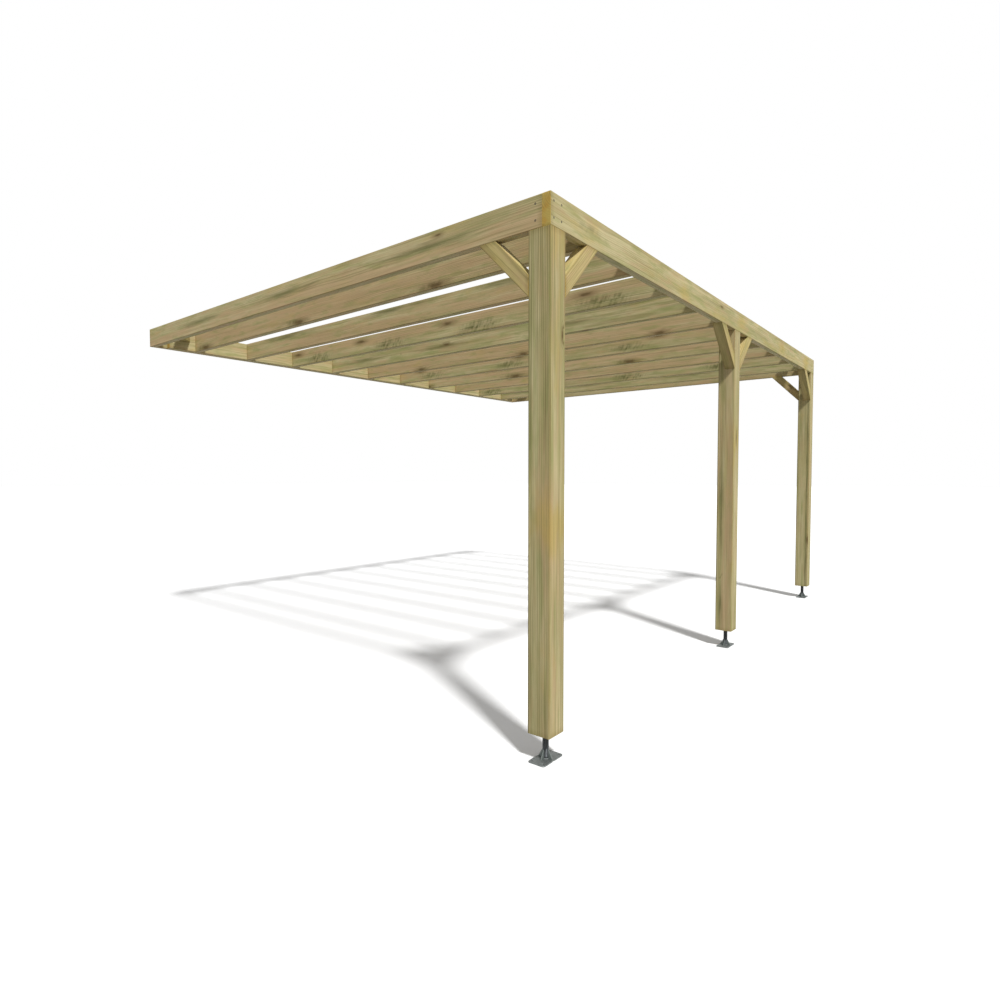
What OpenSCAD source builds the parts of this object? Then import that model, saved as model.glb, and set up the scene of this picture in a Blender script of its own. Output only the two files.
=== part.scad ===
// Lean-to pergola in treated timber: three posts on steel feet, a front beam, two side beams,
// a board on the wall with a header in front of it, ten rafters, six knee braces and four corner braces.
// Millimetres, +Z up. The origin is the centre of the wall board's back face; the front looks along -Y.

/* [Overall size] */
// Width along the wall, over the side beams
width = 5000; // [3000:10:7000]
// Depth from the wall to the face of the front beam
depth = 4045; // [2500:5:5000]
// Height from the ground to the top of the beams
height = 2530; // [2100:10:3000]

/* [Beams and rafters] */
// Depth of every beam, rafter and board on edge
beam_depth = 145; // [95:5:245]
// Thickness of every beam, rafter and board
beam_thick = 45; // [30:1:75]
// Clear gap between a side beam and the rafter next to it
edge_bay = 291; // [270:1:450]
// Distance from the outer face to where the header starts
header_inset = 120; // [45:5:200]
// Eased corner of the beams and rafters
beam_ease = 2; // [0.5:0.5:5]

/* [Posts] */
// Side of each square post
post_size = 120; // [90:1:150]
// Eased corner of the posts
post_ease = 4; // [1:0.5:8]

/* [Braces] */
// Side of the square timber of every brace
brace_size = 70; // [45:1:95]
// Length of a knee brace's outer leg, along the post and along the beam
knee_leg = 288; // [200:2:400]
// Gap between the rafter next to a side beam and the toe of a corner brace
brace_gap = 1; // [0:0.5:5]

/* [Post feet] */
// Height of the steel foot below the post
foot_height = 124; // [60:1:200]
// Length of the foot's base plate along the wall
plate_length = 160; // [120:1:200]
// Width of the foot's base plate
plate_width = 90; // [70:1:120]
// Thickness of the base plate
plate_thick = 6; // [4:0.5:12]
// Corner radius of the base plate
plate_radius = 12; // [4:1:30]
// Diameter of the stem
stem_diameter = 30; // [20:1:42]
// Depth of the stem in the post
stem_insert = 100; // [60:5:200]
// Gap around the stem in its hole in the post
stem_clearance = 0.3; // [0.1:0.1:1]
// Reach of each gusset from the stem
gusset_reach = 24; // [12:1:28]
// Height of each gusset
gusset_height = 42; // [20:1:60]
// Thickness of each gusset
gusset_thick = 5; // [3:0.5:8]
// Diameter of the four fixing holes in the plate
foot_hole = 11; // [8:0.5:14]
// Distance of the fixing holes from the plate's edges
foot_hole_edge = 16; // [12:1:25]

/* [Wall fixing] */
// Diameter of the holes for the wall bolts
wall_hole = 12; // [8:0.5:18]
// Distance of the wall bolts from the top edge of the board
wall_hole_drop = 40; // [30:1:100]

/* [Colours] */
// Colour of the treated timber
timber_colour = [0.62, 0.57, 0.38];
// Colour of the galvanised steel
steel_colour = [0.42, 0.44, 0.44];

/* [Hidden] */
// The rafters and wall bolts are as many as the nodes and mounts name, so their counts stay.
rafter_count = 10;
wall_hole_bays = 2;
left_x = -width / 2;
right_x = width / 2;
front_y = -depth;
top_z = beam_depth / 2;
beam_z = top_z - beam_depth;
ground_z = top_z - height;
post_z = ground_z + foot_height;
tongue = post_size - beam_thick;
middle_tongue = post_size - 2 * beam_thick;
header_y = -2 * beam_thick;
span = width - 2 * beam_thick;
first_rafter_x = left_x + beam_thick + edge_bay;
last_rafter_x = right_x - beam_thick - edge_bay - beam_thick;
rafter_pitch = (last_rafter_x - first_rafter_x) / (rafter_count - 1);
rafter_y = front_y + beam_thick;
rafter_length = header_y - rafter_y;
brace_cut = brace_size * sqrt(2);
knee_inner = knee_leg - brace_cut;
corner_leg = edge_bay - brace_gap;
corner_inner = corner_leg - brace_cut;
wall_leg = corner_leg - beam_thick;
wall_inner = wall_leg - brace_cut;
brace_bottom_z = top_z - brace_size;
post_middle_x = -post_size / 2;
post_right_x = right_x - post_size;
wall_hole_z = top_z - wall_hole_drop;
eps = 1;

// A square-cut timber of thickness x by height y with eased corners, as a flat profile.
module eased_profile(x, y, ease) {
    polygon([[ease, 0], [x - ease, 0], [x, ease], [x, y - ease],
             [x - ease, y], [ease, y], [0, y - ease], [0, ease]]);
}

// A timber on edge that runs along X from its corner.
module timber_along_x(corner, run) {
    translate(corner)
        rotate([90, 0, 90])
            linear_extrude(height = run)
                eased_profile(beam_thick, beam_depth, beam_ease);
}

// A timber on edge that runs along Y from its corner.
module timber_along_y(corner, run) {
    translate([corner[0], corner[1] + run, corner[2]])
        rotate([90, 0, 0])
            linear_extrude(height = run)
                eased_profile(beam_thick, beam_depth, beam_ease);
}

// The holes for the wall bolts, through the wall board and the header, in the middle of every other bay.
module wall_bolt_holes() {
    for (i = [-2 : 2]) {
        translate([i * wall_hole_bays * rafter_pitch, eps, wall_hole_z])
            rotate([90, 0, 0])
                cylinder(h = 2 * beam_thick + 2 * eps, d = wall_hole, $fn = 48);
    }
}

// The blank of a post from the foot to the top of the beams, with the hole for the foot's stem.
module post_blank(x) {
    difference() {
        translate([x, front_y, post_z])
            linear_extrude(height = top_z - post_z)
                eased_profile(post_size, post_size, post_ease);
        translate([x + post_size / 2, front_y + post_size / 2, post_z - eps])
            cylinder(h = stem_insert + eps, d = stem_diameter + 2 * stem_clearance, $fn = 64);
    }
}

// The seat that a post's head leaves for a beam along X, cut from y by size.
module seat_along_x(x, y, size) {
    translate([x - eps, y, beam_z])
        cube([post_size + 2 * eps, size, beam_depth + eps]);
}

// The seat that a corner post's head leaves for a side beam.
module seat_along_y(x) {
    translate([x, front_y - eps, beam_z])
        cube([beam_thick, post_size + 2 * eps, beam_depth + eps]);
}

// One rafter, counted from the left.
module rafter(i) {
    color(timber_colour)
        timber_along_y([first_rafter_x + (i - 1) * rafter_pitch, rafter_y, beam_z], rafter_length);
}

// The side outline of a brace: two cuts that meet the post or beam at 45 degrees.
module brace_profile(outer, inner) {
    polygon([[inner, 0], [outer, 0], [0, outer], [0, inner]]);
}

// A knee brace under the front beam; dir is 1 to the right of the post and -1 to its left.
module knee_brace_front(x, dir) {
    translate([x, front_y, beam_z])
        scale([dir, 1, -1])
            translate([0, brace_size, 0])
                rotate([90, 0, 0])
                    linear_extrude(height = brace_size)
                        brace_profile(knee_leg, knee_inner);
}

// A knee brace under a side beam, from its outer face inwards.
module knee_brace_side(x) {
    translate([x, front_y + post_size, beam_z])
        scale([1, 1, -1])
            rotate([90, 0, 90])
                linear_extrude(height = brace_size)
                    brace_profile(knee_leg, knee_inner);
}

// A corner brace that lies level with the rafters' tops; dir_x and dir_y point into the frame.
module corner_brace(x, y, dir_x, dir_y, outer, inner) {
    translate([x, y, brace_bottom_z])
        scale([dir_x, dir_y, 1])
            linear_extrude(height = brace_size)
                brace_profile(outer, inner);
}

// One gusset between the stem and the base plate, turned about the stem.
module gusset(angle) {
    rotate([0, 0, angle])
        translate([stem_diameter / 2 - eps, gusset_thick / 2, plate_thick - eps])
            rotate([90, 0, 0])
                linear_extrude(height = gusset_thick)
                    polygon([[0, 0], [gusset_reach + eps, 0], [gusset_reach + eps, eps],
                             [eps, gusset_height + eps], [0, gusset_height + eps]]);
}

// The base plate with its four fixing holes.
module base_plate() {
    px = plate_length / 2 - plate_radius;
    py = plate_width / 2 - plate_radius;
    hx = plate_length / 2 - foot_hole_edge;
    hy = plate_width / 2 - foot_hole_edge;
    difference() {
        union() {
            translate([-plate_length / 2, -py, 0])
                cube([plate_length, 2 * py, plate_thick]);
            translate([-px, -plate_width / 2, 0])
                cube([2 * px, plate_width, plate_thick]);
            for (sx = [-1, 1]) {
                for (sy = [-1, 1]) {
                    translate([sx * px, sy * py, 0])
                        cylinder(h = plate_thick, r = plate_radius, $fn = 48);
                }
            }
        }
        for (sx = [-1, 1]) {
            for (sy = [-1, 1]) {
                translate([sx * hx, sy * hy, -eps])
                    cylinder(h = plate_thick + 2 * eps, d = foot_hole, $fn = 48);
            }
        }
    }
}

// A steel foot below the post whose left edge is at x.
module post_foot(x) {
    color(steel_colour)
        translate([x + post_size / 2, front_y + post_size / 2, ground_z]) {
            base_plate();
            cylinder(h = foot_height + stem_insert, d = stem_diameter, $fn = 64);
            gusset(0);
            gusset(90);
            gusset(180);
            gusset(270);
        }
}

module wall_board() {
    color(timber_colour)
        difference() {
            timber_along_x([left_x + beam_thick, -beam_thick, beam_z], span);
            wall_bolt_holes();
        }
}

module header_beam() {
    color(timber_colour)
        difference() {
            timber_along_x([left_x + header_inset, header_y, beam_z], width - 2 * header_inset);
            wall_bolt_holes();
        }
}

module front_beam() {
    color(timber_colour)
        timber_along_x([left_x, front_y, beam_z], width);
}

module side_beam_left() {
    color(timber_colour)
        timber_along_y([left_x, rafter_y, beam_z], depth - beam_thick);
}

module side_beam_right() {
    color(timber_colour)
        timber_along_y([right_x - beam_thick, rafter_y, beam_z], depth - beam_thick);
}

module rafter_1() { rafter(1); }
module rafter_2() { rafter(2); }
module rafter_3() { rafter(3); }
module rafter_4() { rafter(4); }
module rafter_5() { rafter(5); }
module rafter_6() { rafter(6); }
module rafter_7() { rafter(7); }
module rafter_8() { rafter(8); }
module rafter_9() { rafter(9); }
module rafter_10() { rafter(10); }

module post_left() {
    color(timber_colour)
        difference() {
            post_blank(left_x);
            seat_along_x(left_x, front_y - eps, beam_thick + eps);
            seat_along_y(left_x - eps);
            seat_along_y(left_x);
        }
}

module post_middle() {
    color(timber_colour)
        difference() {
            post_blank(post_middle_x);
            seat_along_x(post_middle_x, front_y - eps, beam_thick + eps);
            seat_along_x(post_middle_x, front_y + beam_thick + middle_tongue, beam_thick + eps);
        }
}

module post_right() {
    color(timber_colour)
        difference() {
            post_blank(post_right_x);
            seat_along_x(post_right_x, front_y - eps, beam_thick + eps);
            seat_along_y(right_x - beam_thick);
            seat_along_y(right_x - beam_thick + eps);
        }
}

module post_foot_left() { post_foot(left_x); }
module post_foot_middle() { post_foot(post_middle_x); }
module post_foot_right() { post_foot(post_right_x); }

module knee_brace_side_left() { color(timber_colour) knee_brace_side(left_x); }
module knee_brace_front_left() { color(timber_colour) knee_brace_front(left_x + post_size, 1); }
module knee_brace_middle_left() { color(timber_colour) knee_brace_front(post_middle_x, -1); }
module knee_brace_middle_right() { color(timber_colour) knee_brace_front(post_middle_x + post_size, 1); }
module knee_brace_front_right() { color(timber_colour) knee_brace_front(post_right_x, -1); }
module knee_brace_side_right() { color(timber_colour) knee_brace_side(right_x - brace_size); }

module corner_brace_front_left() {
    color(timber_colour)
        corner_brace(left_x + beam_thick, rafter_y, 1, 1, corner_leg, corner_inner);
}

module corner_brace_front_right() {
    color(timber_colour)
        corner_brace(right_x - beam_thick, rafter_y, -1, 1, corner_leg, corner_inner);
}

module corner_brace_wall_left() {
    color(timber_colour)
        corner_brace(left_x + beam_thick, header_y, 1, -1, wall_leg, wall_inner);
}

module corner_brace_wall_right() {
    color(timber_colour)
        corner_brace(right_x - beam_thick, header_y, -1, -1, wall_leg, wall_inner);
}

wall_board();
header_beam();
front_beam();
side_beam_left();
side_beam_right();
rafter_1();
rafter_2();
rafter_3();
rafter_4();
rafter_5();
rafter_6();
rafter_7();
rafter_8();
rafter_9();
rafter_10();
post_left();
post_middle();
post_right();
post_foot_left();
post_foot_middle();
post_foot_right();
knee_brace_side_left();
knee_brace_front_left();
knee_brace_middle_left();
knee_brace_middle_right();
knee_brace_front_right();
knee_brace_side_right();
corner_brace_front_left();
corner_brace_front_right();
corner_brace_wall_left();
corner_brace_wall_right();
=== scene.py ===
"""Lean-to pergola in pressure-treated pine on galvanised steel feet.

Every timber is a planed member worked out with numpy on the place of its frame node, with eased arrises,
sawn ends and its own run of grain, knots and treatment stain. The feet are a bevelled plate, a threaded
stem and four gussets. All lengths are metres in the frame's axes.
"""

import logging
import math
from dataclasses import dataclass, field
from enum import Enum
from typing import Callable, Optional, Sequence, Union

import bpy
import numpy as np
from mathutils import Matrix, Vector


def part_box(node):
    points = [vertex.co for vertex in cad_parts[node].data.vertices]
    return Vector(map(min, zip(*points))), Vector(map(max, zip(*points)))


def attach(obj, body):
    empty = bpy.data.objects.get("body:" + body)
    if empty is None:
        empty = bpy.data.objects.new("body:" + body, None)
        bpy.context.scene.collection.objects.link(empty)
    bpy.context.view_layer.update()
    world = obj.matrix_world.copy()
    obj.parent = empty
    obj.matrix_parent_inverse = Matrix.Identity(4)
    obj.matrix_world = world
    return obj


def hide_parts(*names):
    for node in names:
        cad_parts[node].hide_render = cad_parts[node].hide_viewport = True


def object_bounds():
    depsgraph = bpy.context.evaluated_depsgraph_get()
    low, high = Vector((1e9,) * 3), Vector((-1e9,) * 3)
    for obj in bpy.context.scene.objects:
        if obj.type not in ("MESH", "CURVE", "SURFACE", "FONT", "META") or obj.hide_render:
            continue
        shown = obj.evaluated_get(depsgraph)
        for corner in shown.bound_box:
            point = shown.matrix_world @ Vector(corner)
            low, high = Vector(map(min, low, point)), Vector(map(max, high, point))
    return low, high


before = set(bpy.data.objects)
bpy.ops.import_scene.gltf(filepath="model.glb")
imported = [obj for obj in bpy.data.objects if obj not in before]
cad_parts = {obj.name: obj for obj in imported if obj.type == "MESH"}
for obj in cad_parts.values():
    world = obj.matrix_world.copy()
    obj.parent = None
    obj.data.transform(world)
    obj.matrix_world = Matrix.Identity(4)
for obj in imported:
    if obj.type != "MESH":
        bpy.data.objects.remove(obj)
CAD_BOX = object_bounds()

logging.basicConfig(level=logging.INFO, format="%(name)s: %(message)s")
log = logging.getLogger("pergola")

Vector3 = tuple[float, float, float]
Wire = Union[bpy.types.Node, bpy.types.NodeSocket]
X_AXIS = np.array([1.0, 0.0, 0.0])
Y_AXIS = np.array([0.0, 1.0, 0.0])
Z_AXIS = np.array([0.0, 0.0, 1.0])
# How far the screw heads stand out of the wood.
SCREW_PROUD = 0.0003
# Knots are drawn out along the grain, so a distance that way counts for this share of itself.
ALONG_KNOT = 0.27
# The timbers' random numbers start from this seed plus their own.
FIRST_SEED = 1000


def linear(hex_colour: str) -> tuple[float, float, float, float]:
    """Turns an sRGB hex colour into the linear colour that a shader takes.

    Args:
        hex_colour: six hex digits, with or without a leading hash.

    Returns:
        Linear red, green, blue and an alpha of 1.
    """
    digits = hex_colour.lstrip("#")
    srgb = np.array([int(digits[i:i + 2], 16) for i in (0, 2, 4)]) / 255.0
    low, high = srgb / 12.92, ((srgb + 0.055) / 1.055) ** 2.4
    return (*np.where(srgb <= 0.04045, low, high).tolist(), 1.0)


# ---------------------------------------------------------------------------------------------- node graphs


@dataclass
class Graph:
    """A node tree, with the one function that adds to it."""

    tree: bpy.types.NodeTree

    def add(self, kind: str, inputs: Union[dict, Sequence, None] = None,
            **settings: object) -> bpy.types.Node:
        """Adds a node with its settings and links.

        Args:
            kind: the node's type, without its ShaderNode prefix.
            inputs: a value, an output socket or a node for each input, by its name or number, or in order
                from the first input on. A node stands for its first output in use.
            settings: properties of the node.

        Returns:
            The new node.
        """
        node = self.tree.nodes.new("ShaderNode" + kind)
        for name, value in settings.items():
            setattr(node, name, value)
        pairs = inputs.items() if isinstance(inputs, dict) else enumerate(inputs or ())
        for name, value in pairs:
            if isinstance(value, bpy.types.Node):
                value = next(output for output in value.outputs if output.enabled)
            if isinstance(value, bpy.types.NodeSocket):
                self.tree.links.new(value, node.inputs[name])
            else:
                node.inputs[name].default_value = value
        return node


def new_material(name: str) -> tuple[bpy.types.Material, Graph]:
    """Makes an empty material.

    Args:
        name: the material's name.

    Returns:
        The material and its graph.
    """
    material = bpy.data.materials.new(name)
    material.use_nodes = True
    material.node_tree.nodes.clear()
    return material, Graph(material.node_tree)


def clouds(graph: Graph, place: Wire, size_mm: Vector3, octaves: float = 2.0, rough: float = 0.5,
           apart: float = 0.0, slant: float = 0.0) -> bpy.types.Node:
    """Draws a pattern of soft clouds, 0.5 on average, that are as long as their real size on each axis.

    Args:
        graph: the material's graph.
        place: the place on the piece, in metres.
        size_mm: the size of a cloud on the place's three axes, in millimetres.
        octaves: finer clouds on top of the first.
        rough: how strong they are.
        apart: an offset that keeps this pattern apart from the others.
        slant: how far the clouds are turned in the plane of the first two axes, in radians.

    Returns:
        The pattern's last node.
    """
    scale = tuple(1000.0 / size for size in size_mm)
    turned = graph.add("Mapping", {"Vector": place, "Rotation": (0.0, 0.0, slant)})
    sized = graph.add("Mapping", {"Vector": turned, "Scale": scale, "Location": (apart, apart, apart)})
    return graph.add("TexNoise", {"Vector": sized, "Scale": 1.0, "Detail": octaves, "Roughness": rough})


# ------------------------------------------------------------------------------------------------ finishes


class Cut(Enum):
    """Which way the saw left the surface of a timber."""

    ALONG = "face"
    ACROSS = "end"


@dataclass(frozen=True)
class TreatedPine:
    """Pressure-treated Scots pine, planed all round.

    The planer leaves a dull, even face on which the growth rings show as fine parallel lines. The copper
    salts tint the pale sapwood green in long soft streaks, the heartwood stays pink-brown, and sawn ends
    soak up more and turn orange.
    """

    name: str = "treated_pine"
    sapwood: str = "#CEC295"
    shaded: str = "#BAAD7D"
    pink: str = "#C5A67E"
    ochre: str = "#C2AA5C"
    green: str = "#979C60"
    stain: str = "#706F45"
    latewood: str = "#8A7D50"
    knot: str = "#6F5C39"
    knot_rim: str = "#5C4B30"
    end: str = "#BE9B4C"
    # Rings of pine are 3 to 4 mm apart. They are drawn two or three times as far apart, so that they show.
    ring_spacing_mm: float = 9.0
    ring_strength: float = 0.40
    fibre_width_mm: float = 4.0
    fibre_length_mm: float = 300.0
    wander_mm: float = 28.0
    pink_amount: float = 0.72
    green_amount: float = 0.7
    blotch_amount: float = 0.5
    line_amount: float = 0.5
    halo_amount: float = 0.55
    arris_amount: float = 0.35
    bump_mm: float = 0.35
    end_bump_mm: float = 0.5
    roughness: float = 0.68
    # Wood has an IOR near 1.5, and dry planed pine shines very little.
    ior: float = 1.5
    specular: float = 0.12

    def both(self) -> tuple[bpy.types.Material, bpy.types.Material]:
        """Returns the materials for the faces and for the ends of a timber."""
        return self.build(Cut.ALONG), self.build(Cut.ACROSS)

    def build(self, cut: Cut) -> bpy.types.Material:
        """Makes the material for the faces or the ends of a timber.

        Args:
            cut: the surface that it dresses.

        Returns:
            The material.
        """
        material, graph = new_material(f"{self.name}_{cut.value}")
        place = graph.add("Attribute", attribute_name="grain").outputs["Vector"]
        knot, halo = self.knots(graph, place)
        # The grain wanders over three quarters of a metre.
        wander = clouds(graph, place, (770.0, 200.0, 200.0)).outputs["Color"]
        most = (self.wander_mm / 1000.0,) * 3
        bent = graph.add("VectorMath", (wander, most, place), operation="MULTIPLY_ADD")
        late = self.rings(graph, bent, halo)
        width = self.fibre_width_mm
        fibre = clouds(graph, bent, (self.fibre_length_mm, width, width), 3.0, 0.62, 9.1)
        if cut is Cut.ACROSS:
            self.dress_end(graph, place, late, fibre)
            return material
        colour = self.streaks(graph, place, bent)
        amount = graph.add("Math", (late, self.ring_strength), operation="MULTIPLY")
        colour = graph.add("Mix", {0: amount, 6: colour, 7: linear(self.latewood)}, data_type="RGBA")
        soft = graph.add("MapRange", (fibre, 0.28, 0.72, 0.86, 1.10))
        grey = graph.add("CombineColor", (soft, soft, soft))
        colour = graph.add("Mix", {0: 1.0, 6: colour, 7: grey}, data_type="RGBA", blend_type="MULTIPLY")
        amount = graph.add("Math", (halo, self.halo_amount), operation="MULTIPLY")
        colour = graph.add("Mix", {0: amount, 6: colour, 7: linear(self.knot)}, data_type="RGBA")
        crack = clouds(graph, place, (30.0, 5.0, 5.0), 2.0, apart=3.0)
        dark = graph.add("MapRange", (crack, 0.4, 0.6), interpolation_type="SMOOTHSTEP")
        core = graph.add("Mix", {0: dark, 6: linear(self.knot_rim), 7: linear(self.knot)}, data_type="RGBA")
        colour = graph.add("Mix", {0: knot, 6: colour, 7: core}, data_type="RGBA")
        # Handling rounds and dulls the arrises.
        arris = graph.add("Attribute", attribute_name="arris").outputs["Fac"]
        amount = graph.add("Math", (arris, self.arris_amount), operation="MULTIPLY")
        colour = graph.add("Mix", {0: amount, 6: colour, 7: linear(self.shaded)}, data_type="RGBA",
                           blend_type="MULTIPLY")
        height = graph.add("Math", (late, 0.9, fibre), operation="MULTIPLY_ADD")
        height = graph.add("Math", (knot, -0.6, height), operation="MULTIPLY_ADD")
        rough = graph.add("MapRange", (fibre, 0.25, 0.75, self.roughness - 0.06, self.roughness + 0.1))
        self.finish(graph, colour, rough, height, self.bump_mm)
        return material

    def rings(self, graph: Graph, bent: Wire, halo: Wire) -> bpy.types.Node:
        """Draws the growth rings, circles about the tree's heart that bulge round the knots.

        Args:
            graph: the material's graph.
            bent: the place on the timber, following the wandering grain.
            halo: the stained grain round the knots.

        Returns:
            The latewood: it darkens slowly to the end of a year and stops at once.
        """
        flat = graph.add("VectorMath", (bent, (0.0, 1.0, 1.0)), operation="MULTIPLY")
        reach = graph.add("VectorMath", (flat,), operation="LENGTH")
        reach = graph.add("Math", (halo, 0.012, reach), operation="MULTIPLY_ADD")
        uneven = clouds(graph, graph.add("CombineXYZ", (reach,)), (26.0, 1000.0, 1000.0), 1.0)
        years = graph.add("Math", (reach, 1000.0 / self.ring_spacing_mm), operation="MULTIPLY")
        years = graph.add("Math", (uneven, 2.2, years), operation="MULTIPLY_ADD")
        year = graph.add("Math", (years,), operation="FRACT")
        rise = graph.add("MapRange", (year, 0.35, 0.86), interpolation_type="SMOOTHSTEP")
        fall = graph.add("MapRange", (year, 1.0, 0.9), interpolation_type="SMOOTHSTEP")
        late = graph.add("Math", (rise, fall), operation="MULTIPLY")
        # In places the rings are faint.
        clear = clouds(graph, bent, (1100.0, 70.0, 70.0), apart=4.3)
        clear = graph.add("MapRange", (clear, 0.36, 0.64, 0.25, 1.0), interpolation_type="SMOOTHSTEP")
        return graph.add("Math", (late, clear), operation="MULTIPLY")

    def streaks(self, graph: Graph, place: Wire, bent: Wire) -> bpy.types.Node:
        """Mixes the wood's long bands of colour: sapwood, heartwood, ochre patches and green treatment.

        Each band is a pattern of clouds to which half of the timber's own lean to it is added, so that a
        patch of lean has frayed edges.

        Args:
            graph: the material's graph.
            place: where on the timber, in metres.
            bent: the same, following the wandering grain.

        Returns:
            The colour.
        """
        tint = graph.add("SeparateXYZ", (graph.add("Attribute", attribute_name="tint").outputs["Vector"],))
        broad = clouds(graph, bent, (800.0, 55.0, 55.0), 4.0, 0.6, 1.7)
        broad = graph.add("MapRange", (broad, 0.34, 0.64), interpolation_type="SMOOTHSTEP")
        shades = {0: broad, 6: linear(self.shaded), 7: linear(self.sapwood)}
        colour = graph.add("Mix", shades, data_type="RGBA")
        bands = (
            (self.pink, self.pink_amount, tint.outputs[0], (650.0, 55.0, 55.0), 4.0, 0.42, 0.74, 22.4),
            (self.ochre, 0.6, tint.outputs[1], (260.0, 80.0, 80.0), 4.0, 0.50, 0.92, 41.0),
            (self.green, self.green_amount, tint.outputs[2], (500.0, 32.0, 32.0), 4.0, 0.46, 0.76, 57.7),
        )
        for shade, most, lean, size_mm, octaves, low, high, apart in bands:
            cloud = clouds(graph, bent, size_mm, octaves, 0.6, apart)
            cloud = graph.add("Math", (lean, 0.5, cloud), operation="MULTIPLY_ADD")
            amount = graph.add("MapRange", (cloud, low, high, 0.0, most), interpolation_type="SMOOTHSTEP")
            colour = graph.add("Mix", {0: amount, 6: colour, 7: linear(shade)}, data_type="RGBA")
        # The treatment takes unevenly: soft blotches lean to green or to pink.
        blotch = clouds(graph, place, (170.0, 42.0, 42.0), 3.0, 0.55, 12.6)
        for shade, low, high in ((self.green, 0.50, 0.72), (self.pink, 0.50, 0.28)):
            amount = graph.add("MapRange", (blotch, low, high, 0.0, self.blotch_amount),
                               interpolation_type="SMOOTHSTEP")
            colour = graph.add("Mix", {0: amount, 6: colour, 7: linear(shade)}, data_type="RGBA")
        # Thin dark lines of resin and salts, a hand's length and more, follow the grain.
        line = clouds(graph, bent, (800.0, 8.0, 8.0), 2.0, 0.5, 91.0)
        line = graph.add("MapRange", (line, 0.58, 0.74, 0.0, self.line_amount),
                         interpolation_type="SMOOTHSTEP")
        colour = graph.add("Mix", {0: line, 6: colour, 7: linear(self.latewood)}, data_type="RGBA")
        streak, feather = self.stains(graph, bent)
        colour = graph.add("Mix", {0: streak, 6: colour, 7: linear(self.stain)}, data_type="RGBA")
        return graph.add("Mix", {0: feather, 6: colour, 7: linear(self.stain)}, data_type="RGBA")

    def stains(self, graph: Graph, bent: Wire) -> tuple[bpy.types.Node, bpy.types.Node]:
        """Works out the dark green streaks and the feathered marks where the salts pooled.

        The stain attribute holds the way to the nearest mark along and round the timber and its strength,
        and stain_size its half length and half width. A bell over that distance, measured in the mark's
        own size and broken by drawn-out clouds, gives frayed edges. Slanted strokes fill a feathered mark.

        Args:
            graph: the material's graph.
            bent: where on the timber, in metres, following the grain.

        Returns:
            How much streak and how much feather there is, each from 0 to 1.
        """
        way = graph.add("Attribute", attribute_name="stain").outputs["Vector"]
        size = graph.add("Attribute", attribute_name="stain_size").outputs["Vector"]
        strength = graph.add("SeparateXYZ", (way,)).outputs[2]
        far = graph.add("VectorMath", (way, size), operation="DIVIDE")
        far = graph.add("VectorMath", (far, (1.0, 1.0, 0.0)), operation="MULTIPLY")
        far = graph.add("VectorMath", (far,), operation="LENGTH")
        fray = clouds(graph, bent, (200.0, 12.0, 12.0), 3.0, 0.6, 71.0)
        far = graph.add("Math", (fray, 2.2, far), operation="MULTIPLY_ADD")
        bell = graph.add("MapRange", (far, 2.6, 0.8), interpolation_type="SMOOTHSTEP")
        streak = graph.add("Math", (bell, strength), operation="MULTIPLY")
        stroke = clouds(graph, way, (60.0, 24.0, 1000.0), 2.0, 0.5, 83.0, slant=1.15)
        stroke = graph.add("MapRange", (stroke, 0.36, 0.64, 0.25, 1.0), interpolation_type="SMOOTHSTEP")
        feather = graph.add("Math", (streak, stroke), operation="MULTIPLY")
        return streak, graph.add("Math", (feather, -1.0), operation="MULTIPLY")

    def knots(self, graph: Graph, place: Wire) -> tuple[bpy.types.Node, bpy.types.Node]:
        """Works out the knots from the knot attribute, the way to the nearest knot and its radius.

        Half way between two knots that way turns round, so knot_near is 0 beyond a few radii.

        Args:
            graph: the material's graph.
            place: where on the timber, in metres.

        Returns:
            The knot itself and the stained grain drawn out from it, each from 0 to 1.
        """
        way = graph.add("Attribute", attribute_name="knot").outputs["Vector"]
        radius = graph.add("SeparateXYZ", (way,)).outputs[2]
        drawn = graph.add("VectorMath", (way, (ALONG_KNOT, 1.0, 0.0)), operation="MULTIPLY")
        far = graph.add("VectorMath", (drawn,), operation="LENGTH")
        far = graph.add("Math", (far, radius), operation="DIVIDE")
        wobble = clouds(graph, place, (60.0, 12.0, 12.0), apart=5.0)
        far = graph.add("Math", (wobble, 0.9, far), operation="MULTIPLY_ADD")
        near = graph.add("Attribute", attribute_name="knot_near").outputs["Fac"]
        knot = graph.add("MapRange", (far, 1.75, 0.75, 0.0, 0.8), interpolation_type="SMOOTHSTEP")
        halo = graph.add("MapRange", (far, 3.6, 0.9), interpolation_type="SMOOTHSTEP")
        return tuple(graph.add("Math", (amount, near), operation="MULTIPLY") for amount in (knot, halo))

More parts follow.
